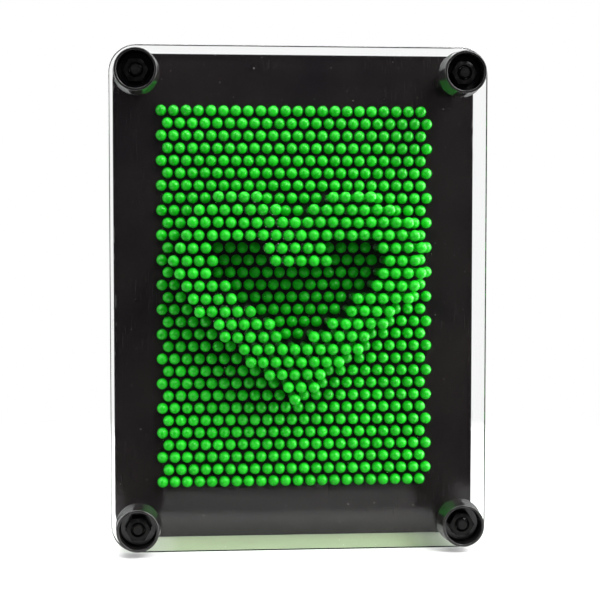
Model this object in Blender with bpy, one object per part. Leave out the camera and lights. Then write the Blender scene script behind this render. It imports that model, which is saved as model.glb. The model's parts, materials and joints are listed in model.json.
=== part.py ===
"""Pin art impression toy: a desk toy with a field of sliding pins behind a clear cover.

It stands upright on the bottom edges of its three plates. +Z is up, +X is to the right as
seen from the front, and the front faces -Y. The origin is on the surface that the toy
stands on, in the middle of its outline. All sizes are in metres.

Each rigid group of pins slides along Y. The pins of one group stand at one height, so
one group is one solid: a thin web at the level of the heads with a shaft behind each head.
"""

import math

import bmesh
import bpy
from mathutils import Vector

# Plates and cover
PLATE_WIDTH = 0.095
PLATE_HEIGHT = 0.127
PLATE_THICKNESS = 0.002
FIXING_INSET = 0.00685  # corner fixings' axes to the plates' edges
CORNER_SEGMENTS = 7

# Depths, from the front face of the knobs to the back face of the rear feet
KNOB_HEIGHT = 0.007
VIEW_GAP = 0.0165  # between the clear cover and the front pin plate
PLATE_GAP = 0.008  # between the two pin plates
FOOT_LENGTH = 0.018
TOUCH_GAP = 0.0003  # left between pieces that touch on the real toy

# Field of pins: a brick pattern with every second row moved by half a pitch
PIN_ROWS = 31
PIN_COLUMNS = 22
PIN_PITCH = 0.00325
SHAFT_SIDE = 0.0018
HEAD_THICKNESS = 0.0022
HEAD_RADIUS = 0.001425
HEAD_FACE_SHARE = 0.7  # of the head radius that the flat of a single pin's head takes
HEAD_RIM_SHARE = 0.6  # of the head thickness that its straight rim takes
WEB_INSET = 0.0002  # web edge to the edge of the outer pins' cells
TAIL_RECESS = 0.002  # tails of the pins at rest to the back face of the rear feet
SLOT_WIDTH = 0.0024
SLOT_END = 0.0006  # slot end past the last shaft's side
RELIEF_HEIGHT = 0.0114  # how far the raised pins stand out at rest

# Relief: the outline of a heart, in pin pitches from the centre of the field
LOBE_RADIUS = 5.4
LOBE_OFFSET = 4.5  # lobe centres to the vertical centre line
LOBE_HEIGHT = 2.9  # lobe centres above the centre of the field
HEART_TIP = -8.4
BAND_WIDTH = 3.3
RELIEF_SECTORS = 10
SECTOR_CENTRE = 2.0  # height of the point that the sectors meet at
EDGE_ROWS = 7  # plain rows above and below the relief
EDGE_BLOCKS = 4  # groups side by side in those rows

# Corner fixings
FIXING_SPACING_X = PLATE_WIDTH - 2 * FIXING_INSET
FIXING_SPACING_Z = PLATE_HEIGHT - 2 * FIXING_INSET
ROD_RADIUS = 0.0015
ROD_HOLE_RADIUS = ROD_RADIUS + TOUCH_GAP
ROD_DEPTH_IN_FOOT = 0.010
ROD_PROUD = 0.0007  # rod end past the nut
KNOB_BASE_RADIUS = 0.00575
KNOB_FRONT_RADIUS = 0.0053
KNOB_RIM_WIDTH = 0.0007
KNOB_RIM_ROUND = 0.0003
RECESS_DEPTH = 0.0046
NUT_ACROSS_FLATS = 0.0055
NUT_THICKNESS = 0.0022
SPACER_RADIUS = 0.0036
FOOT_RADIUS = 0.0045
FOOT_EDGE = 0.0006
ROUND_STEPS = 20
HIDDEN_STEPS = 12
SHARP_ANGLE = math.radians(40)

# Places along Y, front to back
DEPTH = KNOB_HEIGHT + VIEW_GAP + PLATE_GAP + FOOT_LENGTH + 3 * PLATE_THICKNESS
KNOB_FRONT_Y = -DEPTH / 2
COVER_Y = KNOB_FRONT_Y + KNOB_HEIGHT
COVER_BACK_Y = COVER_Y + PLATE_THICKNESS
FRONT_PLATE_Y = COVER_BACK_Y + VIEW_GAP
REAR_PLATE_Y = FRONT_PLATE_Y + PLATE_THICKNESS + PLATE_GAP
REAR_PLATE_BACK_Y = REAR_PLATE_Y + PLATE_THICKNESS
FOOT_END_Y = DEPTH / 2
HEAD_BACK_Y = FRONT_PLATE_Y - TOUCH_GAP
TAIL_Y = FOOT_END_Y - TAIL_RECESS
CENTRE_Z = PLATE_HEIGHT / 2

CORNERS = {
    "bottom_left": (-1, -1),
    "bottom_right": (1, -1),
    "top_left": (-1, 1),
    "top_right": (1, 1),
}


def clear_scene():
    for obj in list(bpy.data.objects):
        bpy.data.objects.remove(obj, do_unlink=True)


def principled(name, colour, roughness, metallic=0.0, alpha=1.0):
    material = bpy.data.materials.new(name)
    material.use_nodes = True
    shader = material.node_tree.nodes["Principled BSDF"]
    shader.inputs["Base Color"].default_value = (*colour, 1.0)
    shader.inputs["Roughness"].default_value = roughness
    shader.inputs["Metallic"].default_value = metallic
    shader.inputs["Alpha"].default_value = alpha
    material.diffuse_color = (*colour, alpha)
    return material


def make_materials():
    return {
        "clear_acrylic": principled("clear_acrylic", (0.93, 0.95, 0.95), 0.05, alpha=0.25),
        "black_acrylic": principled("black_acrylic", (0.012, 0.012, 0.016), 0.12),
        "black_fitting": principled("black_fitting", (0.015, 0.014, 0.015), 0.22),
        "green_pin": principled("green_pin", (0.02, 0.72, 0.05), 0.25),
        "blackened_nut": principled("blackened_nut", (0.03, 0.028, 0.028), 0.35, 0.8),
        "blackened_rod": principled("blackened_rod", (0.03, 0.028, 0.027), 0.35, 0.8),
    }


def add_object(name, data, material, parent, location=(0, 0, 0), rotation=(0, 0, 0)):
    obj = bpy.data.objects.new(name, data)
    data.materials.append(material)
    obj.location = location
    obj.rotation_euler = rotation
    obj.parent = parent
    bpy.context.scene.collection.objects.link(obj)
    return obj


def mesh_from(bm, name):
    bmesh.ops.recalc_face_normals(bm, faces=bm.faces)
    mesh = bpy.data.meshes.new(name)
    bm.to_mesh(mesh)
    bm.free()
    mesh.shade_smooth()
    mesh.set_sharp_from_angle(angle=SHARP_ANGLE)
    return mesh


# Flat sheets: a closed outline with holes, extruded and stood upright


def circle_points(centre, radius, steps):
    angles = [2 * math.pi * i / steps for i in range(steps)]
    return [(centre[0] + radius * math.cos(a), centre[1] + radius * math.sin(a)) for a in angles]


def rounded_rectangle(width, height, radius, segments):
    points = []
    for quarter, (sx, sy) in enumerate(((1, 1), (-1, 1), (-1, -1), (1, -1))):
        cx = sx * (width / 2 - radius)
        cy = sy * (height / 2 - radius)
        for i in range(segments + 1):
            angle = (quarter + i / segments) * math.pi / 2
            points.append((cx + radius * math.cos(angle), cy + radius * math.sin(angle)))
    return points


def fixing_place(corner):
    side, end = CORNERS[corner]
    return side * FIXING_SPACING_X / 2, end * FIXING_SPACING_Z / 2


def row_slot(row):
    """The slot in a pin plate that one row of shafts slides in, as its four corners."""
    left = pin_place(row, 0)[0] - SHAFT_SIDE / 2 - SLOT_END
    right = pin_place(row, PIN_COLUMNS - 1)[0] + SHAFT_SIDE / 2 + SLOT_END
    middle = pin_place(row, 0)[1]
    low = middle - SLOT_WIDTH / 2
    high = middle + SLOT_WIDTH / 2
    return [(left, low), (right, low), (right, high), (left, high)]


def sheet_curve(name, holes):
    curve = bpy.data.curves.new(name, "CURVE")
    curve.dimensions = "2D"
    curve.fill_mode = "BOTH"
    curve.extrude = PLATE_THICKNESS / 2
    outline = rounded_rectangle(PLATE_WIDTH, PLATE_HEIGHT, FIXING_INSET, CORNER_SEGMENTS)
    for points in [outline, *holes]:
        spline = curve.splines.new("POLY")
        spline.points.add(len(points) - 1)
        for point, (x, y) in zip(spline.points, points):
            point.co = (x, y, 0, 1)
        spline.use_cyclic_u = True
    return curve


def add_sheet(name, front_y, slots, material, parent):
    """A plate or the cover, with its front face at front_y."""
    holes = [circle_points(fixing_place(corner), ROD_HOLE_RADIUS, HIDDEN_STEPS) for corner in CORNERS]
    holes += slots
    place = (0, front_y + PLATE_THICKNESS / 2, 0)
    return add_object(name, sheet_curve(name, holes), material, parent, place, (math.pi / 2, 0, 0))


# Turned pieces: a profile of (radius, distance behind the piece's front face)


def turned_mesh(name, profile, steps):
    """Turns a closed profile. A profile that starts and ends on the axis closes there."""
    bm = bmesh.new()
    corners = [bm.verts.new((radius, 0, -back)) for radius, back in profile]
    for first, second in zip(corners, corners[1:]):
        bm.edges.new((first, second))
    if profile[0][0] > 0:
        bm.edges.new((corners[-1], corners[0]))
    bmesh.ops.spin(
        bm,
        geom=bm.verts[:] + bm.edges[:],
        cent=(0, 0, 0),
        axis=(0, 0, 1),
        angle=2 * math.pi,
        steps=steps,
        use_merge=True,
    )
    bmesh.ops.remove_doubles(bm, verts=bm.verts, dist=1e-6)
    return mesh_from(bm, name)


def add_turned(name, mesh, corner, front_y, material, parent):
    x, z = fixing_place(corner)
    return add_object(name, mesh, material, parent, (x, front_y, z), (math.pi / 2, 0, 0))


def knob_mesh():
    """A tapered cup whose floor the nut clamps. Its recess is open to the front."""
    rim = KNOB_FRONT_RADIUS - KNOB_RIM_WIDTH
    back = KNOB_HEIGHT - TOUCH_GAP
    profile = [
        (KNOB_FRONT_RADIUS - KNOB_RIM_ROUND, 0),
        (KNOB_FRONT_RADIUS, KNOB_RIM_ROUND),
        (KNOB_BASE_RADIUS, back - KNOB_RIM_ROUND),
        (KNOB_BASE_RADIUS, back),
        (ROD_HOLE_RADIUS, back),
        (ROD_HOLE_RADIUS, RECESS_DEPTH),
        (rim, RECESS_DEPTH),
        (rim, 0),
    ]
    return turned_mesh("knob", profile, ROUND_STEPS)


def sleeve_mesh(name, length):
    profile = [
        (SPACER_RADIUS, 0),
        (SPACER_RADIUS, length),
        (ROD_HOLE_RADIUS, length),
        (ROD_HOLE_RADIUS, 0),
    ]
    return turned_mesh(name, profile, HIDDEN_STEPS)


def foot_mesh():
    """A leg behind the rear plate, with a blind hole that the rod screws into."""
    length = FOOT_LENGTH - TOUCH_GAP
    profile = [
        (FOOT_RADIUS, 0),
        (FOOT_RADIUS, length - FOOT_EDGE),
        (FOOT_RADIUS - FOOT_EDGE, length),
        (0, length),
    ]
    hole = [
        (0, ROD_DEPTH_IN_FOOT + TOUCH_GAP),
        (ROD_HOLE_RADIUS, ROD_DEPTH_IN_FOOT + TOUCH_GAP),
        (ROD_HOLE_RADIUS, 0),
    ]
    return turned_mesh("rear_foot", hole + profile, ROUND_STEPS)


def rod_mesh(length):
    profile = [(0, 0), (ROD_RADIUS, 0), (ROD_RADIUS, length), (0, length)]
    return turned_mesh("tie_rod", profile, HIDDEN_STEPS)


def nut_mesh():
    """A hexagonal nut with a vertex to each side."""
    bm = bmesh.new()
    corner_radius = NUT_ACROSS_FLATS / math.sqrt(3)
    outer = [bm.verts.new((x, y, 0)) for x, y in circle_points((0, 0), corner_radius, 6)]
    inner = [bm.verts.new((x, y, 0)) for x, y in circle_points((0, 0), ROD_HOLE_RADIUS, 12)]
    for i in range(6):
        ahead = (i + 1) % 6
        bm.faces.new((outer[i], outer[ahead], inner[2 * ahead], inner[2 * i + 1], inner[2 * i]))
    flat = bmesh.ops.extrude_face_region(bm, geom=bm.faces[:])
    moved = [item for item in flat["geom"] if isinstance(item, bmesh.types.BMVert)]
    bmesh.ops.translate(bm, verts=moved, vec=(0, 0, -NUT_THICKNESS))
    return mesh_from(bm, "knob_nut")


def add_corner_fixings(materials, parent):
    """At each corner: knob, nut, spacer, spacer and foot, all on one tie rod."""
    recess_floor = KNOB_FRONT_Y + RECESS_DEPTH
    nut_front = recess_floor - TOUCH_GAP - NUT_THICKNESS
    rod_front = nut_front - ROD_PROUD
    rod_length = REAR_PLATE_BACK_Y + ROD_DEPTH_IN_FOOT - rod_front
    fitting = materials["black_fitting"]
    cover_spacer = sleeve_mesh("cover_spacer", VIEW_GAP - 2 * TOUCH_GAP)
    plate_spacer = sleeve_mesh("plate_spacer", PLATE_GAP - 2 * TOUCH_GAP)
    stack = (
        ("knob", knob_mesh(), KNOB_FRONT_Y, fitting),
        ("knob_nut", nut_mesh(), nut_front, materials["blackened_nut"]),
        ("cover_spacer", cover_spacer, COVER_BACK_Y + TOUCH_GAP, fitting),
        ("plate_spacer", plate_spacer, FRONT_PLATE_Y + PLATE_THICKNESS + TOUCH_GAP, fitting),
        ("rear_foot", foot_mesh(), REAR_PLATE_BACK_Y + TOUCH_GAP, fitting),
        ("tie_rod", rod_mesh(rod_length), rod_front, materials["blackened_rod"]),
    )
    for corner in CORNERS:
        for name, mesh, front_y, material in stack:
            add_turned(f"{name}_{corner}", mesh.copy(), corner, front_y, material, parent)


# Pins


def pin_steps(row, column):
    """The pin's place in pitches from the centre of the field, as (x, z)."""
    shift = 0.5 * (row % 2)
    return column + shift - (PIN_COLUMNS - 0.5) / 2, row - (PIN_ROWS - 1) / 2


def pin_place(row, column):
    x, z = pin_steps(row, column)
    return x * PIN_PITCH, z * PIN_PITCH


def tangent_angle():
    """The slope of the heart's straight sides, which run from its lobes to its tip."""
    drop = LOBE_HEIGHT - HEART_TIP
    reach = math.hypot(LOBE_OFFSET, drop)
    return math.atan2(LOBE_OFFSET, drop) + math.asin(LOBE_RADIUS / reach)


def inside_heart(x, z, inset):
    across = abs(x) - LOBE_OFFSET
    up = z - LOBE_HEIGHT
    radius = LOBE_RADIUS - inset
    if math.hypot(across, up) <= radius:
        return True
    slope = tangent_angle()
    outward = across * math.cos(slope) - up * math.sin(slope)
    towards_tip = -across * math.sin(slope) - up * math.cos(slope)
    return up <= 0 and towards_tip >= 0 and outward <= radius


def pin_group(row, column):
    """The name of the rigid group that a pin belongs to."""
    x, z = pin_steps(row, column)
    side = "left" if x < 0 else "right"
    at_row_end = column in (0, PIN_COLUMNS - 1)
    if at_row_end and row in (0, PIN_ROWS - 1):
        return f"corner_pin_{'bottom' if row == 0 else 'top'}_{side}"
    if inside_heart(x, z, BAND_WIDTH):
        return f"centre_pins_{side}"
    if inside_heart(x, z, 0):
        turn = math.atan2(x, SECTOR_CENTRE - z) / (2 * math.pi) + 0.5
        return f"relief_pins_{int(turn * RELIEF_SECTORS) + 1:02d}"
    block = column * EDGE_BLOCKS // PIN_COLUMNS + 1
    between_lobes = abs(x) < LOBE_OFFSET and z > LOBE_HEIGHT
    if row < EDGE_ROWS:
        return f"lower_pins_{block}"
    if row >= PIN_ROWS - EDGE_ROWS or between_lobes:
        return f"upper_pins_{block}"
    return f"side_pins_{'upper' if z > 0 else 'lower'}_{side}"


def group_pins():
    groups = {}
    for row in range(PIN_ROWS):
        for column in range(PIN_COLUMNS):
            groups.setdefault(pin_group(row, column), []).append((row, column))
    return groups


def corner_shift(cells, corner, cell):
    """How a web corner moves so that the web stays WEB_INSET inside its outer cells' edges.

    A cell is half a pin wide. The corner is one of the four of this cell.
    """
    sx = 1 if cell[0] == corner[0] else -1
    sz = 1 if cell[1] == corner[1] else -1
    beside = (cell[0] - sx, cell[1]) in cells
    above = (cell[0], cell[1] - sz) in cells
    across = (cell[0] - sx, cell[1] - sz) in cells
    if beside and above:
        return (0, 0) if across else (sx, sz)
    if beside:
        return (-sx, sz) if across else (0, sz)
    if above:
        return (sx, -sz) if across else (sx, 0)
    return sx, sz


def web_mesh(name, pins, centre):
    """A web over the pins' cells, with a square shaft behind each head."""
    cells = {}
    for row, column in pins:
        left = 2 * column + row % 2
        cells[(left, row)] = (row, column)
        cells[(left + 1, row)] = (row, column)
    bm = bmesh.new()
    made = {}
    origin_x = pin_place(0, 0)[0] - PIN_PITCH / 2
    origin_z = pin_place(0, 0)[1] - PIN_PITCH / 2

    def web_corner(corner, cell, y):
        shift = corner_shift(cells, corner, cell)
        key = (corner, shift, y)
        if key not in made:
            x = origin_x + corner[0] * PIN_PITCH / 2 + shift[0] * WEB_INSET
            z = origin_z + corner[1] * PIN_PITCH + shift[1] * WEB_INSET
            made[key] = bm.verts.new((x - centre[0], y, z - centre[1]))
        return made[key]

    front, back = -HEAD_THICKNESS, 0
    for column, row in cells:
        cell = (column, row)
        low_left, low_right = (column, row), (column + 1, row)
        high_left, high_right = (column, row + 1), (column + 1, row + 1)
        ring = (low_left, low_right, high_right, high_left)
        bm.faces.new([web_corner(corner, cell, front) for corner in ring])
        sides = (
            ((column, row - 1), low_left, low_right),
            ((column + 1, row), low_right, high_right),
            ((column, row + 1), high_right, high_left),
            ((column - 1, row), high_left, low_left),
        )
        for neighbour, start, end in sides:
            if neighbour not in cells:
                wall = ((start, front), (end, front), (end, back), (start, back))
                bm.faces.new([web_corner(corner, cell, y) for corner, y in wall])
    for row, column in pins:
        add_shaft(bm, web_corner, row, column, centre)
    return mesh_from(bm, name)


def add_shaft(bm, web_corner, row, column, centre):
    """The back of one pin's two cells, with its shaft."""
    left = 2 * column + row % 2
    cells = ((left, row), (left + 1, row))
    lower = [web_corner((left, row), cells[0], 0), web_corner((left + 1, row), cells[0], 0)]
    lower.append(web_corner((left + 2, row), cells[1], 0))
    upper = [web_corner((left, row + 1), cells[0], 0), web_corner((left + 1, row + 1), cells[0], 0)]
    upper.append(web_corner((left + 2, row + 1), cells[1], 0))
    x, z = pin_place(row, column)
    half = SHAFT_SIDE / 2
    length = TAIL_Y - HEAD_BACK_Y
    rings = []
    for y in (0, length):
        corners = ((-half, -half), (half, -half), (half, half), (-half, half))
        rings.append([bm.verts.new((x - centre[0] + dx, y, z - centre[1] + dz)) for dx, dz in corners])
    root, tail = rings
    bm.faces.new((*lower, root[1], root[0]))
    bm.faces.new((lower[2], upper[2], root[2], root[1]))
    bm.faces.new((upper[2], upper[1], upper[0], root[3], root[2]))
    bm.faces.new((upper[0], lower[0], root[0], root[3]))
    for i in range(4):
        bm.faces.new((root[i], root[(i + 1) % 4], tail[(i + 1) % 4], tail[i]))
    bm.faces.new(tail)


def single_pin_mesh():
    """One whole pin: a round head and its shaft, with the head's back at the origin."""
    length = TAIL_Y - HEAD_BACK_Y
    shaft_radius = SHAFT_SIDE / 2
    profile = [
        (0, -HEAD_THICKNESS),
        (HEAD_RADIUS * HEAD_FACE_SHARE, -HEAD_THICKNESS),
        (HEAD_RADIUS, -HEAD_THICKNESS * HEAD_RIM_SHARE),
        (HEAD_RADIUS, 0),
        (shaft_radius, 0),
        (shaft_radius, length),
        (0, length),
    ]
    return turned_mesh("pin", profile, HIDDEN_STEPS)


def group_centre(pins):
    places = [Vector((*pin_place(row, column), 0)) for row, column in pins]
    return sum(places, Vector()) / len(places)


def add_pins(material, parent):
    for name, pins in sorted(group_pins().items()):
        centre = group_centre(pins)
        raised = RELIEF_HEIGHT if name.startswith("relief_pins") else 0
        place = (centre.x, HEAD_BACK_Y - raised, centre.y)
        if len(pins) == 1:
            add_object(name, single_pin_mesh(), material, parent, place, (math.pi / 2, 0, 0))
        else:
            add_object(name, web_mesh(name, pins, centre), material, parent, place)


def main():
    clear_scene()
    materials = make_materials()
    toy = bpy.data.objects.new("toy_centre", None)
    toy.location = (0, 0, CENTRE_Z)
    bpy.context.scene.collection.objects.link(toy)
    slots = [row_slot(row) for row in range(PIN_ROWS)]
    add_sheet("clear_cover", COVER_Y, [], materials["clear_acrylic"], toy)
    add_sheet("front_pin_plate", FRONT_PLATE_Y, slots, materials["black_acrylic"], toy)
    add_sheet("rear_pin_plate", REAR_PLATE_Y, slots, materials["black_acrylic"], toy)
    add_corner_fixings(materials, toy)
    add_pins(materials["green_pin"], toy)


main()
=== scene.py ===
"""Pin art impression toy: the finished look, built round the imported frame."""

import json
import math
import random

import bmesh
import bpy
from mathutils import Matrix, Vector

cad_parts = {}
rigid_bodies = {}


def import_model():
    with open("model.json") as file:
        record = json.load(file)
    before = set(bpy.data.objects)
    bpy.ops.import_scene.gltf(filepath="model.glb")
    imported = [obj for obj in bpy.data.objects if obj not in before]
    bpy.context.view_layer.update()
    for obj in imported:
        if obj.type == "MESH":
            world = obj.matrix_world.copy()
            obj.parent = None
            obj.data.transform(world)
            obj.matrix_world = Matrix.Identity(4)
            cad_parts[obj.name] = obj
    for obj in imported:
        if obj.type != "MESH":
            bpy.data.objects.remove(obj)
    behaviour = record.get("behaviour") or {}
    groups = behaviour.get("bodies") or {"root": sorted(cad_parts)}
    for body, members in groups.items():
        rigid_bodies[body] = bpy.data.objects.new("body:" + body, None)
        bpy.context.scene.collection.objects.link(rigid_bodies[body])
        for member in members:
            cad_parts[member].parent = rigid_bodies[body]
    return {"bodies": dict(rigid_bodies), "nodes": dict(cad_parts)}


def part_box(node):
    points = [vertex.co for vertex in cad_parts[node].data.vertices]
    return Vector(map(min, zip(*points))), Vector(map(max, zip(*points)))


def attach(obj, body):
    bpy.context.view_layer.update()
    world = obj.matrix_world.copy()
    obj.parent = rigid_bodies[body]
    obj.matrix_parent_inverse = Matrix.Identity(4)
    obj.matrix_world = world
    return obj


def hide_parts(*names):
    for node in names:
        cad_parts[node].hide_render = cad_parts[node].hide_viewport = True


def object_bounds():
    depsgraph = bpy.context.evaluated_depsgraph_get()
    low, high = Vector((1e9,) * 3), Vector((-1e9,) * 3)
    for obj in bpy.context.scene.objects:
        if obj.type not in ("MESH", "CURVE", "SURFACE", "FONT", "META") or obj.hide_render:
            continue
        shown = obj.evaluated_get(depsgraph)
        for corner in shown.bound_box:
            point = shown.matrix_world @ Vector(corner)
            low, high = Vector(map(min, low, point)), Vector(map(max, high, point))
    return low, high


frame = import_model()
cad_low, cad_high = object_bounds()

CORNERS = ("bottom_left", "bottom_right", "top_left", "top_right")

# Camera: metres, measured from the middle of the clear cover's front face
CAMERA_OFFSET = Vector((-0.0276, -0.350, 0.017))
FRAME_HEIGHT = 0.151  # height of the picture at the cover
SENSOR_MM = 36.0
CLIP_START = 0.01

# Pins
PIN_ROWS = 31
PIN_COLUMNS = 22
TAIL_DEPTH = 0.0001  # points this near the end of a shaft belong to its tail
HEAD_GAP = 0.0003  # between a head's back and the plate behind it
SHAFT_RADIUS = 0.0010
HEAD_RADIUS = 0.00143
HEAD_RIM = 0.0007  # thickness of a head's straight rim
HEAD_EDGE = 0.0002  # height of the slope round a head's back
HEAD_EDGE_INSET = 0.0001  # how far in that slope comes
TAIL_ROUND = 0.0005
PIN_STEPS = 20
DOME_STEPS = 6
PIN_LEAN = 0.00007 / 0.012  # the most that a loose pin leans, as a slope
HOLE_RADIUS = 0.00114
HOLE_STEPS = 20
SHADE_SEED = 11

# Sheets
SHEET_BEVEL = 0.00012
ROD_HOLE_RADIUS = 0.0018
CORNER_STEPS = 16
FLAT_NORMAL = 0.999  # the normal of a sheet's front and back faces has at least this much Y
MERGE_DISTANCE = 1e-6

# Corner fixings
ROUND_STEPS = 56
SHARP_ANGLE = math.radians(35)
FIXING_GAP = 0.0003  # between pieces that touch on the real toy
BORE_EDGE = 0.0002  # chamfer at the mouth of a bore
KNOB_TAPER = 0.00045  # how much narrower a knob is at its front
KNOB_TILT = 0.12  # radians, of the side just behind the front rim
KNOB_WALL = 0.00068
KNOB_RIM_ROUND = 0.0003
KNOB_INNER_ROUND = 0.0002
KNOB_FLARE = ((0.0002, 0.0011), (0.00005, 0.0008), (0, 0.0005))  # (inset, height over the back)
RECESS_ROUND = 0.0004
SLEEVE_ROUND = 0.00025
FOOT_ROUND = 0.0008
FOOT_FRONT_ROUND = 0.0002
DISH_RADIUS = 0.0022
DISH_DEPTH = 0.0003
ROD_STEPS = 16
ROD_CHAMFER = 0.0005  # length of the chamfer at a rod's end
ROD_CHAMFER_SLOPE = 0.8
THREAD_PITCH = 0.0005
THREAD_DEPTH = 0.00022
THREAD_RINGS = 4  # rings of points in one turn of thread
NUT_STEPS = 60
NUT_ACROSS_FLATS = 0.0055
NUT_FACE_SHARE = 1.03  # radius of a nut's round end face, in halves of its width across flats
NUT_CHAMFER_SLOPE = math.tan(math.radians(30))
NUT_BORE_RADIUS = 0.0016
NUT_BORE_EDGE = 0.0003

# Floor, in metres from the middle of the toy. Each pair says where a change starts and ends.
FLOOR_RADIUS = 1.2
FLOOR_DROP = 0.00005  # keeps the floor clear of the plates' lower edges
# The SHADE pairs bound the shadow painted into the floor's colour under the toy
SHADE_SIDE = (0.030, 0.052)  # along X, to both sides
SHADE_FRONT = (-0.0215, -0.0185)  # along Y
SHADE_BACK = (0.010, 0.045)  # along Y
FADE_FRONT = (0.058, 0.075)  # ahead of the toy
FADE_AROUND = (0.11, 0.24)
MIRRORED_FRONT = (0.030, 0.068)  # ahead of the toy
MIRRORED_UNDER = (-0.02, 0.01)  # ahead of the toy


# Places read from the frame


def middle(node):
    low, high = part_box(node)
    return (low + high) / 2


field_origin = middle("corner_pin_bottom_left")
PIN_PITCH = (middle("corner_pin_top_left").z - field_origin.z) / (PIN_ROWS - 1)
HEAD_BACK_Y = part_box("front_pin_plate")[0].y - HEAD_GAP
FLUSH_FRONT_Y, FLUSH_TAIL_Y = (corner.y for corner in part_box("corner_pin_top_left"))
# Midway between the two plates' outer faces
PLATES_Y = (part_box("front_pin_plate")[0].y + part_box("rear_pin_plate")[1].y) / 2


def pins_of(node):
    """The (row, column) of each pin in a CAD group, from where its shafts end."""
    tail_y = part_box(node)[1].y
    found = set()
    for vertex in frame["nodes"][node].data.vertices:
        if tail_y - vertex.co.y < TAIL_DEPTH:
            row = round((vertex.co.z - field_origin.z) / PIN_PITCH)
            shift = 0.5 * (row % 2)
            column = round((vertex.co.x - field_origin.x) / PIN_PITCH - shift)
            found.add((row, column))
    return sorted(found)


def pin_axis(row, column):
    """The (x, z) of a pin's hole."""
    x = field_origin.x + (column + 0.5 * (row % 2)) * PIN_PITCH
    return x, field_origin.z + row * PIN_PITCH


# Node graphs


def set_inputs(tree, node, values):
    """Links or sets each of these inputs of a node."""
    for name, value in values.items():
        if isinstance(value, bpy.types.NodeSocket):
            tree.links.new(value, node.inputs[name])
        else:
            node.inputs[name].default_value = value


def add_node(tree, kind, inputs=None, **settings):
    made = tree.nodes.new(kind)
    for name, value in settings.items():
        setattr(made, name, value)
    set_inputs(tree, made, inputs or {})
    return made


def maths(tree, operation, a, b=0.0, c=0.0):
    return add_node(tree, "ShaderNodeMath", {0: a, 1: b, 2: c}, operation=operation).outputs[0]


def largest(tree, a, b):
    return maths(tree, "MAXIMUM", a, b)


def times(tree, a, b):
    return maths(tree, "MULTIPLY", a, b)


def blend_colour(tree, share, first, second):
    inputs = {"Factor": share, 6: first, 7: second}  # 6 and 7 are its two colours
    return add_node(tree, "ShaderNodeMix", inputs, data_type="RGBA").outputs[2]


def span(tree, value, low, high, new_low=0.0, new_high=1.0):
    """Maps low..high to new_low..new_high and holds it there."""
    inputs = {"Value": value, 1: low, 2: high, 3: new_low, 4: new_high}  # in the node's order
    return add_node(tree, "ShaderNodeMapRange", inputs, clamp=True).outputs[0]


def place(tree, stretch=(1, 1, 1), turn=(0, 0, 0)):
    """Object coordinates in metres, turned and stretched."""
    coordinates = add_node(tree, "ShaderNodeTexCoord").outputs["Object"]
    inputs = {"Vector": coordinates, "Rotation": turn, "Scale": stretch}
    return add_node(tree, "ShaderNodeMapping", inputs).outputs[0]


def noise(tree, where, scale, detail=3.0, roughness=0.5):
    inputs = {"Vector": where, "Scale": scale, "Detail": detail, "Roughness": roughness}
    return add_node(tree, "ShaderNodeTexNoise", inputs).outputs["Fac"]


def specks(tree, scale, size, kept):
    """Round dust specks: 1 on a speck. Only this share of the cells holds one."""
    where = place(tree)
    cells = add_node(tree, "ShaderNodeTexVoronoi", {"Vector": where, "Scale": scale})
    pick = add_node(tree, "ShaderNodeSeparateColor", {"Color": cells.outputs["Color"]})
    chosen = maths(tree, "LESS_THAN", pick.outputs["Red"], kept)
    radius = maths(tree, "MULTIPLY_ADD", pick.outputs["Green"], size, size * 0.35)
    inside = maths(tree, "LESS_THAN", cells.outputs["Distance"], radius)
    return times(tree, chosen, inside)


def scratches(tree, angle, scale, threshold):
    """Long thin hairlines in the plane of a sheet, in patches: 1 on a line."""
    where = place(tree, stretch=(1, 1, 0.03), turn=(0, angle, 0))
    lines = noise(tree, where, scale, detail=1.0)
    patches = noise(tree, place(tree), 45.0, detail=1.0)
    line = span(tree, lines, threshold, threshold + 0.012)
    return times(tree, line, span(tree, patches, 0.52, 0.62))


def bumped(tree, height, strength, distance):
    inputs = {"Height": height, "Strength": strength, "Distance": distance}
    return add_node(tree, "ShaderNodeBump", inputs).outputs["Normal"]


def new_material(name):
    material = bpy.data.materials.new(name)
    material.use_nodes = True
    tree = material.node_tree
    return material, tree, tree.nodes["Principled BSDF"]


def mix_shaders(tree, share, first, second):
    """Mixes two shaders into the material's surface."""
    mixed = add_node(tree, "ShaderNodeMixShader", {0: share, 1: first, 2: second}).outputs[0]
    tree.links.new(mixed, tree.nodes["Material Output"].inputs["Surface"])


def clear_acrylic():
    """Clear sheet with a few specks of dust, hairlines and faint smudges."""
    material, tree, shader = new_material("clear_acrylic_sheet")
    dust = specks(tree, scale=260.0, size=0.045, kept=0.10)
    lint = specks(tree, scale=900.0, size=0.11, kept=0.05)
    falling = scratches(tree, angle=0.7, scale=5200.0, threshold=0.74)
    rising = scratches(tree, angle=-1.1, scale=6400.0, threshold=0.745)
    marks = largest(tree, falling, rising)
    smudge = noise(tree, place(tree), 38.0, detail=4.0)
    haze = span(tree, smudge, 0.45, 0.8, 0.0, 0.035)
    rough = maths(tree, "MULTIPLY_ADD", marks, 0.12, haze)
    dirt = largest(tree, dust, times(tree, lint, 0.5))
    set_inputs(tree, shader, {
        "Base Color": blend_colour(tree, dirt, (0.958, 0.966, 0.962, 1), (0.85, 0.85, 0.83, 1)),
        "Roughness": maths(tree, "MULTIPLY_ADD", dirt, 0.6, rough),
        "Transmission Weight": 1.0,
        "IOR": 1.33,
        "Normal": bumped(tree, marks, 0.15, 0.00002),
    })
    # Lamps shine straight through, so that the sheet doesn't darken what is behind it
    shadow = add_node(tree, "ShaderNodeLightPath").outputs["Is Shadow Ray"]
    pale = (0.94, 0.95, 0.945, 1)
    clear = add_node(tree, "ShaderNodeBsdfTransparent", {"Color": pale}).outputs[0]
    mix_shaders(tree, shadow, shader.outputs[0], clear)
    return material


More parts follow.
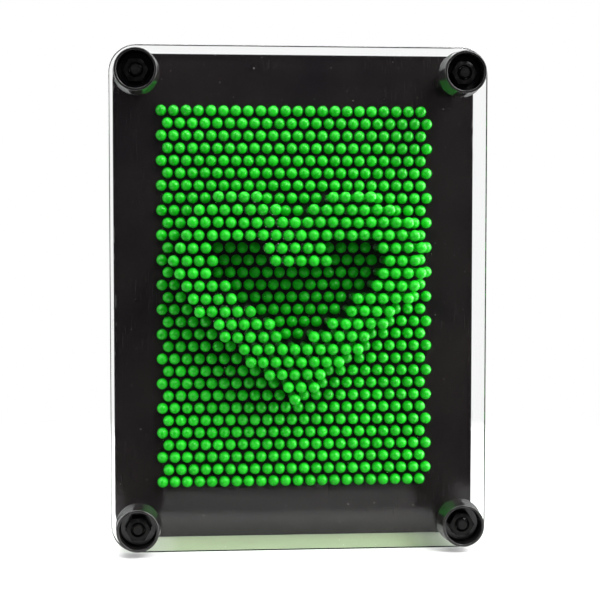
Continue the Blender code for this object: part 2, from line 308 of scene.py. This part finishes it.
def black_acrylic():
    """Polished black sheet with dust, hairlines and a thin uneven film."""
    material, tree, shader = new_material("black_acrylic_sheet")
    large_dust = specks(tree, scale=330.0, size=0.05, kept=0.20)
    small_dust = specks(tree, scale=800.0, size=0.10, kept=0.14)
    dust = largest(tree, large_dust, small_dust)
    steep = scratches(tree, angle=0.25, scale=4800.0, threshold=0.72)
    shallow = scratches(tree, angle=1.1, scale=5600.0, threshold=0.73)
    marks = largest(tree, steep, shallow)
    smudge = noise(tree, place(tree), 55.0, detail=5.0, roughness=0.6)
    film = span(tree, smudge, 0.35, 0.75)
    tone = blend_colour(tree, film, (0.0085, 0.0072, 0.0080, 1), (0.0150, 0.0122, 0.0118, 1))
    tone = blend_colour(tree, times(tree, dust, 0.75), tone, (0.46, 0.45, 0.43, 1))
    tone = blend_colour(tree, times(tree, marks, 0.3), tone, (0.06, 0.06, 0.06, 1))
    rough = span(tree, smudge, 0.3, 0.8, 0.07, 0.20)
    waves = noise(tree, place(tree), 14.0, detail=1.0)
    set_inputs(tree, shader, {
        "Base Color": tone,
        "Roughness": maths(tree, "MULTIPLY_ADD", dust, 0.5, rough),
        "IOR": 1.49,
        "Normal": bumped(tree, maths(tree, "MULTIPLY_ADD", marks, 0.05, waves), 0.12, 0.0012),
    })
    return material


def black_moulding():
    """Satin black plastic with flow marks, fine grain and a little dust."""
    material, tree, shader = new_material("black_moulded_plastic")
    grain = noise(tree, place(tree), 2600.0, detail=4.0)
    flow = noise(tree, place(tree, stretch=(1, 0.25, 1)), 420.0, detail=3.0)
    dust = specks(tree, scale=700.0, size=0.06, kept=0.10)
    share = span(tree, flow, 0.35, 0.7)
    tone = blend_colour(tree, share, (0.0070, 0.0064, 0.0066, 1), (0.014, 0.0125, 0.012, 1))
    tone = blend_colour(tree, times(tree, dust, 0.35), tone, (0.30, 0.29, 0.27, 1))
    set_inputs(tree, shader, {
        "Base Color": tone,
        "Roughness": span(tree, flow, 0.3, 0.75, 0.14, 0.27),
        "IOR": 1.5,
        "Coat Weight": 0.25,
        "Coat Roughness": 0.08,
        "Normal": bumped(tree, maths(tree, "MULTIPLY_ADD", flow, 0.6, grain), 0.10, 0.00005),
    })
    return material


def green_plastic():
    """Bright moulded plastic. Each pin has its own shade, kept in the mesh as pin_tone."""
    material, tree, shader = new_material("green_moulded_plastic")
    shade = add_node(tree, "ShaderNodeAttribute", attribute_name="pin_tone").outputs["Fac"]
    cloud = noise(tree, place(tree), 900.0, detail=3.0)
    share = maths(tree, "MULTIPLY_ADD", cloud, 0.1, times(tree, shade, 0.9))
    tone = blend_colour(tree, share, (0.0035, 0.37, 0.0060, 1), (0.0080, 0.50, 0.0120, 1))
    grain = noise(tree, place(tree), 3800.0, detail=2.0)
    set_inputs(tree, shader, {
        "Base Color": tone,
        "Roughness": span(tree, cloud, 0.3, 0.7, 0.24, 0.28),
        "IOR": 1.46,
        "Subsurface Weight": 0.4,
        "Subsurface Radius": (0.0002, 0.0016, 0.0003),
        "Subsurface Scale": 1.0,
        "Normal": bumped(tree, grain, 0.03, 0.00001),
    })
    return material


def metal(name, dark, light, shiny, dull):
    """Blackened metal, stained between two colours, with fine marks round its axis."""
    material, tree, shader = new_material(name)
    stain = noise(tree, place(tree), 700.0, detail=5.0, roughness=0.6)
    marks = noise(tree, place(tree, stretch=(1, 8, 1)), 1500.0, detail=2.0)
    share = span(tree, stain, 0.35, 0.7)
    rough = span(tree, stain, 0.3, 0.7, shiny, dull)
    set_inputs(tree, shader, {
        "Base Color": blend_colour(tree, share, (*dark, 1), (*light, 1)),
        "Metallic": 0.5,
        "Roughness": maths(tree, "MULTIPLY_ADD", marks, 0.12, rough),
        "Normal": bumped(tree, marks, 0.15, 0.00004),
    })
    return material


# Mesh building


def finish_mesh(name, mesh, material, body, slot, *nodes, flat_faces=False):
    """Makes a piece of a mesh whose points are already in the row frame."""
    mesh.materials.append(material)
    mesh.shade_smooth()
    mesh.set_sharp_from_angle(angle=SHARP_ANGLE)
    if flat_faces:
        # A sheet's big faces stay flat, so that they don't bend what is seen in them
        smooth = [abs(face.normal.y) < FLAT_NORMAL for face in mesh.polygons]
        mesh.polygons.foreach_set("use_smooth", smooth)
    piece = bpy.data.objects.new(name, mesh)
    bpy.context.scene.collection.objects.link(piece)
    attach(piece, body)
    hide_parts(*nodes)
    return piece


def arc(centre, radius, start, end, steps):
    """Points of an arc in a plane, from one angle to another."""
    angles = [start + (end - start) * i / steps for i in range(steps + 1)]
    return [(centre[0] + radius * math.cos(a), centre[1] + radius * math.sin(a)) for a in angles]


def turned(profile, steps, closed=False):
    """Points and faces of a profile of (radius, y), front to back, turned about the Y axis.

    A radius of 0 gives one point on the axis. A closed profile ends where it starts.
    """
    points, rings, faces = [], [], []
    for radius, y in profile:
        count = steps if radius > 0 else 1
        angles = [2 * math.pi * i / steps for i in range(count)]
        rings.append(range(len(points), len(points) + count))
        points += [Vector((radius * math.cos(a), y, radius * math.sin(a))) for a in angles]
    if closed:
        rings.append(rings[0])
    for first, second in zip(rings, rings[1:]):
        for i in range(steps):
            ahead = (i + 1) % steps
            corners = [first[i % len(first)], first[ahead % len(first)]]
            corners += [second[ahead % len(second)], second[i % len(second)]]
            faces.append(tuple(dict.fromkeys(corners)))
    return points, faces


def mesh_of(name, points, faces):
    mesh = bpy.data.meshes.new(name)
    mesh.from_pydata(points, [], faces)
    bm = bmesh.new()
    bm.from_mesh(mesh)
    bmesh.ops.recalc_face_normals(bm, faces=bm.faces)
    bm.to_mesh(mesh)
    bm.free()
    return mesh


def turned_piece(name, profile, material, closed=True):
    """A turned fixing, about the middle of the CAD node that it replaces."""
    points, faces = turned(profile, ROUND_STEPS, closed)
    axis = middle(name)
    mesh = mesh_of(name, [p + Vector((axis.x, 0, axis.z)) for p in points], faces)
    return finish_mesh(f"{name}_finished", mesh, material, "frame", "black_fitting", name)


# Sheets


def circle(centre, radius, steps):
    angles = [2 * math.pi * i / steps for i in range(steps)]
    return [(centre[0] + radius * math.cos(a), centre[1] + radius * math.sin(a)) for a in angles]


def rounded_outline(low, high, radius):
    """A rectangle with round corners in X and Z, from its top right corner round."""
    points = []
    right, left = high.x - radius, low.x + radius
    top, bottom = high.z - radius, low.z + radius
    centres = ((right, top), (left, top), (left, bottom), (right, bottom))
    for quarter, centre in enumerate(centres):
        start = quarter * math.pi / 2
        points += arc(centre, radius, start, start + math.pi / 2, CORNER_STEPS)
    return points


def sheet_piece(node, holes, material, slot):
    """A sheet with rounded corners, softened edges and holes, filled by a flat curve."""
    low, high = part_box(node)
    radius = middle("tie_rod_bottom_left").x - low.x  # the corners are round about the rods
    rods = [middle(f"tie_rod_{corner}") for corner in CORNERS]
    outlines = [rounded_outline(low, high, radius)]
    outlines += [circle((rod.x, rod.z), ROD_HOLE_RADIUS, ROD_STEPS) for rod in rods]
    curve = bpy.data.curves.new(node, "CURVE")
    curve.dimensions = "2D"
    curve.fill_mode = "BOTH"
    curve.extrude = (high.y - low.y) / 2 - SHEET_BEVEL
    curve.bevel_depth = SHEET_BEVEL
    curve.bevel_resolution = 1
    curve.offset = -SHEET_BEVEL
    for outline in outlines + holes:
        spline = curve.splines.new("POLY")
        spline.points.add(len(outline) - 1)
        for point, (x, z) in zip(spline.points, outline):
            point.co = (x, z, 0, 1)
        spline.use_cyclic_u = True
    helper = bpy.data.objects.new(node + "_outline", curve)
    bpy.context.scene.collection.objects.link(helper)
    bpy.context.view_layer.update()
    filled = helper.evaluated_get(bpy.context.evaluated_depsgraph_get())
    mesh = bpy.data.meshes.new_from_object(filled)
    bpy.data.objects.remove(helper)
    upright = Matrix.Rotation(math.pi / 2, 4, "X")
    mesh.transform(Matrix.Translation((0, (low.y + high.y) / 2, 0)) @ upright)
    bm = bmesh.new()
    bm.from_mesh(mesh)
    bmesh.ops.remove_doubles(bm, verts=bm.verts, dist=MERGE_DISTANCE)
    bm.to_mesh(mesh)
    bm.free()
    return finish_mesh(f"{node}_finished", mesh, material, "frame", slot, node, flat_faces=True)


def make_sheets():
    """The clear cover, and two black plates with a round hole for each pin."""
    black = black_acrylic()
    pin_holes = [
        circle(pin_axis(row, column), HOLE_RADIUS, HOLE_STEPS)
        for row in range(PIN_ROWS)
        for column in range(PIN_COLUMNS)
    ]
    sheet_piece("clear_cover", [], clear_acrylic(), "clear_acrylic")
    sheet_piece("front_pin_plate", pin_holes, black, "black_acrylic")
    sheet_piece("rear_pin_plate", pin_holes, black, "black_acrylic")


# Pins


def pin_profile(length):
    """A domed head whose back is at y = 0, and a shaft that ends at y = length."""
    front = FLUSH_FRONT_Y - HEAD_BACK_Y
    dome = -front - HEAD_RIM
    profile = []
    for i in range(DOME_STEPS + 1):
        angle = math.pi / 2 * i / DOME_STEPS
        profile.append((HEAD_RADIUS * math.sin(angle), -HEAD_RIM - dome * math.cos(angle)))
    profile[0] = (0, front)
    profile += [
        (HEAD_RADIUS, -HEAD_EDGE),
        (HEAD_RADIUS - HEAD_EDGE_INSET, 0),
        (SHAFT_RADIUS, 0),
        (SHAFT_RADIUS, length - TAIL_ROUND),
        (SHAFT_RADIUS * 0.75, length - TAIL_ROUND * 0.25),
        (0, length),
    ]
    return profile


def make_pins():
    """One piece for each group of pins. Each pin leans a little and has its own shade."""
    material = green_plastic()
    shades = random.Random(SHADE_SEED)
    length = FLUSH_TAIL_Y - HEAD_BACK_Y
    points, faces = turned(pin_profile(length), PIN_STEPS)
    for body in sorted(frame["bodies"]):
        if body == "frame":
            continue
        raised = FLUSH_TAIL_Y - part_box(body)[1].y
        all_points, all_faces, tones = [], [], []
        for row, column in pins_of(body):
            x, z = pin_axis(row, column)
            lean_angle = shades.uniform(0, 2 * math.pi)
            lean = PIN_LEAN * math.sqrt(shades.random())
            start = len(all_points)
            for point in points:
                y = point.y + HEAD_BACK_Y - raised
                off = (PLATES_Y - y) * lean
                off_x, off_z = off * math.cos(lean_angle), off * math.sin(lean_angle)
                all_points.append((x + point.x + off_x, y, z + point.z + off_z))
            all_faces += [tuple(corner + start for corner in face) for face in faces]
            tones += [shades.random()] * len(points)
        mesh = mesh_of(body, all_points, all_faces)
        mesh.attributes.new("pin_tone", "FLOAT", "POINT").data.foreach_set("value", tones)
        finish_mesh(f"{body}_finished", mesh, material, body, "green_pin", body)


# Corner fixings


def knob_profile(node):
    """A tapered cup with a rolled front rim and a bored floor that the nut stands on."""
    low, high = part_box(node)
    base = (high.x - low.x) / 2
    front, back = low.y, high.y
    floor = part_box(node.replace("knob", "knob_nut"))[1].y + FIXING_GAP
    top = base - KNOB_TAPER
    inside = top - KNOB_WALL
    rim = (top - KNOB_RIM_ROUND, front + KNOB_RIM_ROUND)
    profile = arc(rim, KNOB_RIM_ROUND, -math.pi / 2, -KNOB_TILT, 5)
    profile += [(base - inset, back - height) for inset, height in KNOB_FLARE]
    profile += [(base, back), (ROD_HOLE_RADIUS, back)]
    profile += [(ROD_HOLE_RADIUS, floor + BORE_EDGE), (ROD_HOLE_RADIUS + BORE_EDGE, floor)]
    bottom = (inside - RECESS_ROUND, floor - RECESS_ROUND)
    profile += arc(bottom, RECESS_ROUND, math.pi / 2, 0, 4)
    lip = (inside + KNOB_INNER_ROUND, front + KNOB_INNER_ROUND)
    profile += arc(lip, KNOB_INNER_ROUND, math.pi, 1.5 * math.pi, 4)
    return profile


def sleeve_profile(node):
    """A spacer: a tube with rounded outer edges."""
    low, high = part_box(node)
    edge = (high.x - low.x) / 2 - SLEEVE_ROUND
    profile = arc((edge, low.y + SLEEVE_ROUND), SLEEVE_ROUND, -math.pi / 2, 0, 4)
    profile += arc((edge, high.y - SLEEVE_ROUND), SLEEVE_ROUND, 0, math.pi / 2, 4)
    profile += [(ROD_HOLE_RADIUS, high.y), (ROD_HOLE_RADIUS, low.y)]
    return profile


def foot_profile(node):
    """A leg with a rounded end and a shallow dished middle, and a blind hole for the rod."""
    low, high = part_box(node)
    radius = (high.x - low.x) / 2
    hole_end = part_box(node.replace("rear_foot", "tie_rod"))[1].y + FIXING_GAP
    profile = [(0, hole_end), (ROD_HOLE_RADIUS, hole_end), (ROD_HOLE_RADIUS, low.y)]
    front = (radius - FOOT_FRONT_ROUND, low.y + FOOT_FRONT_ROUND)
    profile += arc(front, FOOT_FRONT_ROUND, -math.pi / 2, 0, 3)
    profile += arc((radius - FOOT_ROUND, high.y - FOOT_ROUND), FOOT_ROUND, 0, math.pi / 2, 6)
    dish = high.y - DISH_DEPTH
    profile += [(DISH_RADIUS, high.y), (DISH_RADIUS - DISH_DEPTH, dish), (0, dish)]
    return profile


def nut_mesh(node):
    """A hexagonal nut with chamfered corners and a chamfered bore."""
    low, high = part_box(node)
    axis = middle(node)
    flat = NUT_ACROSS_FLATS / 2
    face_radius = flat * NUT_FACE_SHARE
    points, faces = [], []
    for i in range(NUT_STEPS):
        angle = 2 * math.pi * i / NUT_STEPS
        side = (angle + math.pi / 6) % (math.pi / 3) - math.pi / 6
        reach = flat / math.cos(math.pi / 6 - abs(side))
        kept = min(reach, face_radius)
        drop = (reach - kept) * NUT_CHAMFER_SLOPE
        ring = (
            (kept, low.y),
            (reach, low.y + drop),
            (reach, high.y - drop),
            (kept, high.y),
            (NUT_BORE_RADIUS + NUT_BORE_EDGE, high.y),
            (NUT_BORE_RADIUS, high.y - NUT_BORE_EDGE),
            (NUT_BORE_RADIUS, low.y + NUT_BORE_EDGE),
            (NUT_BORE_RADIUS + NUT_BORE_EDGE, low.y),
        )
        for radius, y in ring:
            x, z = radius * math.cos(angle), radius * math.sin(angle)
            points.append((axis.x + x, y, axis.z + z))
    size = len(ring)
    for i in range(NUT_STEPS):
        here, ahead = i * size, (i + 1) % NUT_STEPS * size
        for j in range(size):
            beside = (j + 1) % size
            faces.append((here + j, ahead + j, ahead + beside, here + beside))
    return mesh_of(node, points, faces)


def rod_mesh(node):
    """A rod with a helical thread over its whole length and chamfered ends."""
    low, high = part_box(node)
    axis = middle(node)
    radius = (high.x - low.x) / 2
    rings = round((high.y - low.y) / THREAD_PITCH * THREAD_RINGS)
    points, faces = [], []
    for i in range(rings + 1):
        y = low.y + (high.y - low.y) * i / rings
        end = min(y - low.y, high.y - y)
        cap = radius - max(0, ROD_CHAMFER - end) * ROD_CHAMFER_SLOPE
        for j in range(ROD_STEPS):
            turn = (y / THREAD_PITCH - j / ROD_STEPS) % 1.0
            depth = THREAD_DEPTH * (1 - abs(2 * turn - 1))
            reach = min(radius - depth, cap)
            angle = 2 * math.pi * j / ROD_STEPS
            points.append((axis.x + reach * math.cos(angle), y, axis.z + reach * math.sin(angle)))
    for i in range(rings):
        for j in range(ROD_STEPS):
            ahead = (j + 1) % ROD_STEPS
            row, above = i * ROD_STEPS, (i + 1) * ROD_STEPS
            faces.append((row + j, row + ahead, above + ahead, above + j))
    faces.append(tuple(range(ROD_STEPS)))
    faces.append(tuple(range(rings * ROD_STEPS, (rings + 1) * ROD_STEPS)))
    return mesh_of(node, points, faces)


def make_fixings():
    """The knob, nut, spacers, foot and rod at each corner."""
    plastic = black_moulding()
    nut = metal("blackened_steel", (0.0035, 0.0032, 0.0032), (0.0085, 0.0078, 0.0072), 0.20, 0.36)
    rod = metal("dark_threaded_steel", (0.0045, 0.0042, 0.0040), (0.0110, 0.0100, 0.0092), 0.24, 0.42)
    for corner in CORNERS:
        name = f"knob_{corner}"
        turned_piece(name, knob_profile(name), plastic)
        for name in (f"cover_spacer_{corner}", f"plate_spacer_{corner}"):
            turned_piece(name, sleeve_profile(name), plastic)
        name = f"rear_foot_{corner}"
        turned_piece(name, foot_profile(name), plastic, closed=False)
        name = f"knob_nut_{corner}"
        finish_mesh(f"{name}_finished", nut_mesh(name), nut, "frame", "blackened_nut", name)
        name = f"tie_rod_{corner}"
        finish_mesh(f"{name}_finished", rod_mesh(name), rod, "frame", "blackened_rod", name)


# Stage, light and camera


def make_floor():
    """A pale floor with a painted green shadow under the toy, that fades into the background close in
    front of the toy.
    """
    bm = bmesh.new()
    bmesh.ops.create_circle(bm, cap_ends=True, radius=FLOOR_RADIUS, segments=96)
    mesh = bpy.data.meshes.new("floor")
    bm.to_mesh(mesh)
    bm.free()
    floor = bpy.data.objects.new("floor", mesh)
    floor.location = (0, 0, cad_low.z - FLOOR_DROP)
    bpy.context.scene.collection.objects.link(floor)
    material, tree, shader = new_material("pale_floor")
    grain = noise(tree, place(tree), 300.0, detail=3.0)
    pale = blend_colour(tree, grain, (0.86, 0.86, 0.855, 1), (0.89, 0.89, 0.885, 1))
    split = add_node(tree, "ShaderNodeSeparateXYZ", {"Vector": place(tree)})
    # Under the toy the floor's colour holds a painted shadow, tinted green like light bounced from
    # the pins
    beside = span(tree, maths(tree, "ABSOLUTE", split.outputs["X"]), *SHADE_SIDE, 1.0, 0.0)
    under = span(tree, split.outputs["Y"], *SHADE_FRONT)
    behind = span(tree, split.outputs["Y"], *SHADE_BACK, 1.0, 0.0)
    shade = times(tree, beside, times(tree, under, behind))
    set_inputs(tree, shader, {
        # The floor's pale colour, blended into the painted green shadow under the toy
        "Base Color": blend_colour(tree, shade, pale, (0.34, 0.41, 0.26, 1)),
        "Roughness": 0.35,
        "Specular IOR Level": 0.4,
    })
    ahead = times(tree, split.outputs["Y"], -1.0)
    front_edge = span(tree, ahead, *FADE_FRONT, 1.0, 0.0)
    length = add_node(tree, "ShaderNodeVectorMath", {0: place(tree)}, operation="LENGTH")
    far_edge = span(tree, length.outputs["Value"], *FADE_AROUND, 1.0, 0.0)
    shown = times(tree, front_edge, far_edge)
    # Glossy surfaces mirror a dimmer floor, dimmest just in front of the toy
    path = add_node(tree, "ShaderNodeLightPath")
    mirrored = maths(tree, "GREATER_THAN", path.outputs["Glossy Depth"], 0.5)
    kept_ahead = span(tree, ahead, *MIRRORED_FRONT, 0.32, 0.80)
    kept_under = span(tree, ahead, *MIRRORED_UNDER, 0.5, 0.0)
    kept = largest(tree, kept_ahead, kept_under)
    lost = times(tree, mirrored, maths(tree, "SUBTRACT", 1.0, kept))
    shown = times(tree, shown, maths(tree, "SUBTRACT", 1.0, lost))
    clear = add_node(tree, "ShaderNodeBsdfTransparent").outputs[0]
    mix_shaders(tree, shown, clear, shader.outputs[0])
    mesh.materials.append(material)


def make_world():
    """White all round where it is seen directly, and a dim room in front for reflections."""
    world = bpy.data.worlds.new("studio")
    bpy.context.scene.world = world
    world.use_nodes = True
    tree = world.node_tree
    background = tree.nodes["Background"]
    direction = add_node(tree, "ShaderNodeTexCoord").outputs["Generated"]
    split = add_node(tree, "ShaderNodeSeparateXYZ", {"Vector": direction})
    # Y is -1 straight ahead of the toy, and Z is 1 straight up
    ahead = span(tree, split.outputs["Y"], -0.85, -0.25, 1.0, 0.0)
    height = span(tree, split.outputs["Z"], -0.25, 0.35)
    room = blend_colour(tree, height, (0.016, 0.012, 0.010, 1), (0.030, 0.028, 0.042, 1))
    surround = blend_colour(tree, ahead, (0.80, 0.81, 0.82, 1), room)
    path = add_node(tree, "ShaderNodeLightPath")
    no_mirror = maths(tree, "LESS_THAN", path.outputs["Glossy Depth"], 0.5)
    no_scatter = maths(tree, "LESS_THAN", path.outputs["Diffuse Depth"], 0.5)
    straight = times(tree, no_mirror, no_scatter)
    through = times(tree, path.outputs["Is Transmission Ray"], straight)
    seen = largest(tree, path.outputs["Is Camera Ray"], through)
    colour = blend_colour(tree, seen, surround, (1.0, 1.0, 1.0, 1))
    tree.links.new(colour, background.inputs["Color"])


def add_softbox(name, towards, distance, size, power):
    """An area light in this direction from the middle of the toy, facing it."""
    centre = (cad_low + cad_high) / 2
    lamp = bpy.data.lights.new(name, "AREA")
    lamp.shape = "RECTANGLE"
    lamp.size, lamp.size_y = size
    lamp.energy = power
    light = bpy.data.objects.new(name, lamp)
    back = Vector(towards).normalized()
    light.location = centre + back * distance
    light.rotation_euler = (-back).to_track_quat("-Z", "Y").to_euler()
    light.visible_transmission = False  # so that it isn't seen through the clear cover
    bpy.context.scene.collection.objects.link(light)


def make_lights():
    """Each softbox: its direction from the toy, distance, width and height, and watts."""
    add_softbox("side_softbox", (1.0, -0.05, 0.26), 0.50, (0.40, 0.55), 6.5)
    add_softbox("key_softbox", (0.66, -0.90, 0.98), 0.80, (0.36, 0.36), 5.6)
    add_softbox("fill_softbox", (-0.95, -0.45, 0.45), 0.85, (0.45, 0.60), 1.8)
    add_softbox("top_softbox", (-0.25, -0.05, 1.0), 0.60, (0.60, 0.45), 4.0)
    add_softbox("back_softbox", (-0.25, 0.95, 0.45), 0.80, (0.70, 0.50), 4.0)


def make_camera():
    aim = middle("clear_cover")
    aim.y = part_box("clear_cover")[0].y
    data = bpy.data.cameras.new("camera")
    data.sensor_width = SENSOR_MM
    data.lens = SENSOR_MM * CAMERA_OFFSET.length / FRAME_HEIGHT
    data.clip_start = CLIP_START
    camera = bpy.data.objects.new("camera", data)
    camera.location = aim + CAMERA_OFFSET
    camera.rotation_euler = (-CAMERA_OFFSET).to_track_quat("-Z", "Y").to_euler()
    bpy.context.scene.collection.objects.link(camera)
    bpy.context.scene.camera = camera


make_camera()
make_sheets()
make_pins()
make_fixings()
make_floor()
make_world()
make_lights()
bpy.context.scene.view_settings.view_transform = "Standard"
